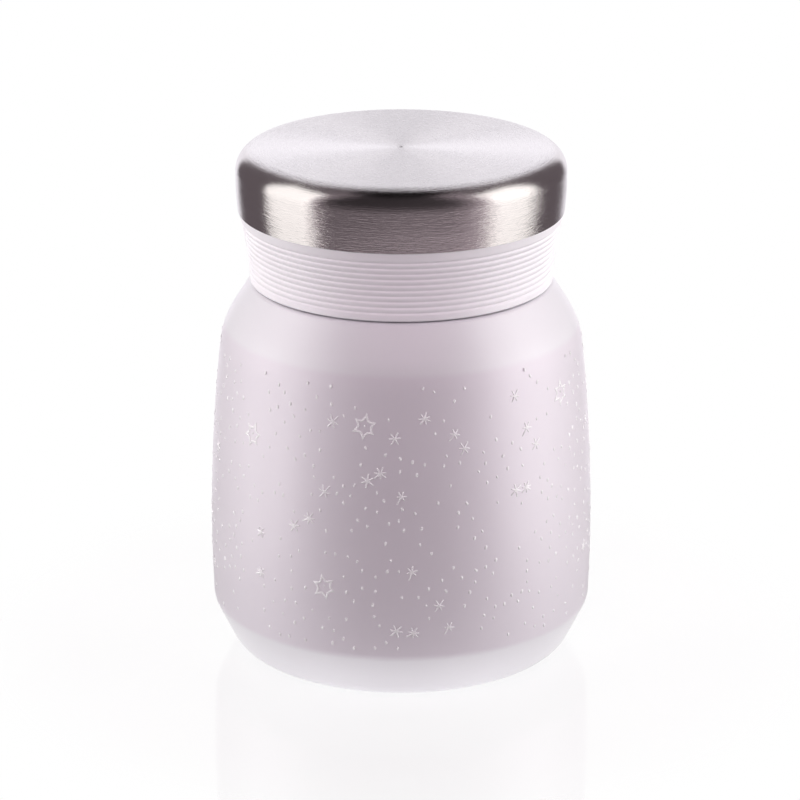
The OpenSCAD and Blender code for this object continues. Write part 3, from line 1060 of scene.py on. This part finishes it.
# %% Brushed steel
cap_bend_z = (119.8 * mm, 120.9 * mm)    # heights over which the side gives way to the top
calm_z = (115.8 * mm, 118.0 * mm)        # heights over which the side's streaks get shallower
calm_depth = 0.35                        # their depth there
top_depth = 0.55                         # what the top adds to that depth
side_gloss = (0.165, 0.205)              # roughness
top_haze = 0.10                          # what the top adds to the roughness
fine_marks = (14, 4600)                  # per radian round the axis, and per metre of outline
broad_marks = (5, 1900)
ring_marks = (6, 4200)
broad_share = 0.3
streak_span = (0.36, 0.64)
streak_h = 0.12 * mm
brushed_steel, tree = new_finish("brushed_steel")
fine = noise(tree, turning_place(tree, *fine_marks), 1, 2, 0.6)
broad = noise(tree, turning_place(tree, *broad_marks), 1, 2, 0.5)
streak = tree.mix(broad_share, fine, broad)
side_tone = tree.ramp(streak, *streak_span)
side_colour = tree.mix(side_tone, (0.80, 0.77, 0.755, 1), (0.83, 0.80, 0.785, 1))
height = tree.add("SeparateXYZ", {0: object_place(tree)}).outputs[2]
on_top = tree.ramp(height, *cap_bend_z)
rings = noise(tree, turning_place(tree, *ring_marks), 1, 2, 0.6)
ring_tone = tree.ramp(rings, *streak_span)
# The top's much paler colour than the side's is a painted highlight.
top_painted_highlight = tree.mix(ring_tone, (0.925, 0.91, 0.90, 1), (0.985, 0.97, 0.96, 1))
gloss = tree.ramp(fine, *noise_span, *side_gloss)
gloss = tree.math("ADD", gloss, tree.math("MULTIPLY", on_top, top_haze))
depth = tree.ramp(height, *calm_z, 1, calm_depth)
depth = tree.math("ADD", depth, tree.math("MULTIPLY", on_top, top_depth))
scratch = tree.math("MULTIPLY", tree.mix(on_top, streak, rings), depth)
colour = tree.mix(on_top, side_colour, top_painted_highlight)
end_steel(tree, colour, gloss, 0.889, bump(tree, scratch, 1.0, streak_h))

# %% [markdown]
# ### Plain steel
# The walls, the neck and the parts under the foot are satin steel with faint rings from rolling and
# polishing.

# %% Plain steel
rolling_marks = (3, 3000)
satin_steel, tree = new_finish("satin_steel")
rings = noise(tree, turning_place(tree, *rolling_marks), 1, 3, 0.6)
colour = tree.mix(tree.ramp(rings, *noise_span), (0.62, 0.61, 0.60, 1), (0.74, 0.73, 0.72, 1))
gloss = tree.ramp(rings, *noise_span, 0.24, 0.34)
end_steel(tree, colour, gloss, 0.5, bump(tree, rings, 0.08, 0.02 * mm))

# %% [markdown]
# ### Plastics, silicone, foam and the rest
# Moulded plastic has a fine spark-eroded grain and a little light that travels under the skin. The
# collar's has a touch of pearl instead. Silicone is clearer and smoother. Foam shows its cells,
# copper foil its creases, and the bead of solder glass its gloss.

# %% Plastics


def make_plastic(name, dark, light, gloss, grain_bump, pearl=0.0, skin=0.12):
    material, tree = new_finish(name)
    place = object_place(tree)
    grain_noise = noise(tree, place, 5200, 2)
    colour = tree.mix(noise(tree, place, 60, 2), dark, light)
    shader = tree.add(
        "BsdfPrincipled",
        {
            "Base Color": colour,
            "Metallic": pearl,
            "Roughness": tree.ramp(noise(tree, place, 1500, 3), *noise_span, *gloss),
            "IOR": 1.49,
            "Subsurface Weight": skin,
            "Subsurface Radius": (1.0, 0.8, 0.9),
            "Subsurface Scale": 0.6 * mm,
            "Normal": bump(tree, grain_noise, grain_bump, 0.01 * mm),
        },
    )
    end_finish(tree, shader)
    return material


collar_plastic = make_plastic(
    "collar_plastic",
    dark=(0.90, 0.872, 0.912, 1),
    light=(0.925, 0.897, 0.932, 1),
    gloss=(0.46, 0.56),
    grain_bump=0.15,
    pearl=0.1,
    skin=0.0,
)
plug_plastic = make_plastic(
    "plug_plastic",
    dark=(0.82, 0.79, 0.81, 1),
    light=(0.86, 0.83, 0.85, 1),
    gloss=(0.30, 0.40),
    grain_bump=0.10,
)
clear_silicone = make_plastic(
    "clear_silicone",
    dark=(0.84, 0.84, 0.85, 1),
    light=(0.90, 0.90, 0.91, 1),
    gloss=(0.42, 0.52),
    grain_bump=0.05,
)

# %% Foam and pad


def make_foam(name, wall, shaded_hollow, cells, depth):
    material, tree = new_finish(name)
    place = object_place(tree)
    cell = tree.add("TexVoronoi", {"Vector": place, "Scale": cells}).outputs["Distance"]
    # The hollows of the cells get the darker colour: painted shade.
    colour = tree.mix(tree.ramp(cell, 0.15, 0.6), wall, shaded_hollow)
    shader = tree.add(
        "BsdfPrincipled",
        {"Base Color": colour, "Roughness": 0.85, "Normal": bump(tree, cell, 0.5, depth)},
    )
    end_finish(tree, shader)
    return material


white_foam = make_foam("white_foam", (0.90, 0.90, 0.87, 1), (0.80, 0.80, 0.76, 1), 900, 0.2 * mm)
pad_foam = make_foam("pad_foam", (0.42, 0.43, 0.45, 1), (0.33, 0.34, 0.36, 1), 2500, 0.05 * mm)

# %% Copper foil, glass bead and getter
copper_foil, tree = new_finish("copper_foil")
place = object_place(tree)
crease = noise(tree, place, 180, 4, 0.6)
# The foil is lighter on the crease ridges and darker in the folds: painted highlight and shade.
shader = tree.add(
    "BsdfPrincipled",
    {
        "Base Color": tree.mix(crease, (0.78, 0.40, 0.24, 1), (0.90, 0.52, 0.34, 1)),
        "Metallic": 1.0,
        "Roughness": tree.ramp(noise(tree, place, 700), *noise_span, 0.18, 0.32),
        "Normal": bump(tree, crease, 0.4, 0.3 * mm),
    },
)
end_finish(tree, shader)

glass_bead, tree = new_finish("glass_bead")
place = object_place(tree)
bubbles = noise(tree, place, 2500, 3)
shader = tree.add(
    "BsdfPrincipled",
    {
        "Base Color": tree.mix(bubbles, (0.035, 0.055, 0.055, 1), (0.07, 0.10, 0.095, 1)),
        "Roughness": tree.ramp(bubbles, *noise_span, 0.06, 0.16),
        "IOR": 1.6,
        "Normal": bump(tree, noise(tree, place, 900), 0.2, 0.05 * mm),
    },
)
end_finish(tree, shader)

getter_powder, tree = new_finish("getter_powder")
place = object_place(tree)
specks = noise(tree, place, 6000, 3, 0.7)
tone = tree.ramp(specks, 0.35, 0.65)
shader = tree.add(
    "BsdfPrincipled",
    {
        "Base Color": tree.mix(tone, (0.06, 0.06, 0.065, 1), (0.17, 0.17, 0.18, 1)),
        "Metallic": 0.6,
        "Roughness": 0.7,
        "Normal": bump(tree, specks, 0.5, 0.05 * mm),
    },
)
end_finish(tree, shader)
print("finishes:", len(bpy.data.materials))

# %% [markdown]
# ## Dress the pieces
# A carried-over node keeps its shape and gets its finish in its material slot. The painted body has
# bare steel in a second slot. Solidify has already put the wall's inner side into it, and the neck
# follows here, by the height of each face.

# %% Dress the pieces
hidden_steel = ("outer_bottom", "base_cover", "getter_tray")
bare_steel = ("liner_wall", "liner_bottom", "neck_ring")
node_finishes = {
    satin_steel: (*hidden_steel, *bare_steel),
    glass_bead: ("seal_bead",),
    getter_powder: ("getter_pill",),
    copper_foil: ("radiation_foil",),
    clear_silicone: ("lid_seal",),
    plug_plastic: ("cap_core", "plug_cup"),
    pad_foam: ("bonding_pad",),
    white_foam: ("insulation_foam",),
}
for finish, names in node_finishes.items():
    for name in names:
        dress(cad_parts[name], finish)
own_finishes = (
    (painted_body, powder_coat, satin_steel),
    (ribbed_collar, collar_plastic),
    (brushed_cap, brushed_steel),
    (raised_grains, white_lacquer),
    (raised_stars, white_lacquer),
)
for piece, *finishes in own_finishes:
    dress(piece, *finishes)
bare_neck_z = body_h + 0.5 * mm
for face in painted_body.data.polygons:
    if face.center.z > bare_neck_z:
        face.material_index = 1
print("dressed:", len(own_finishes) + sum(map(len, node_finishes.values())), "pieces")
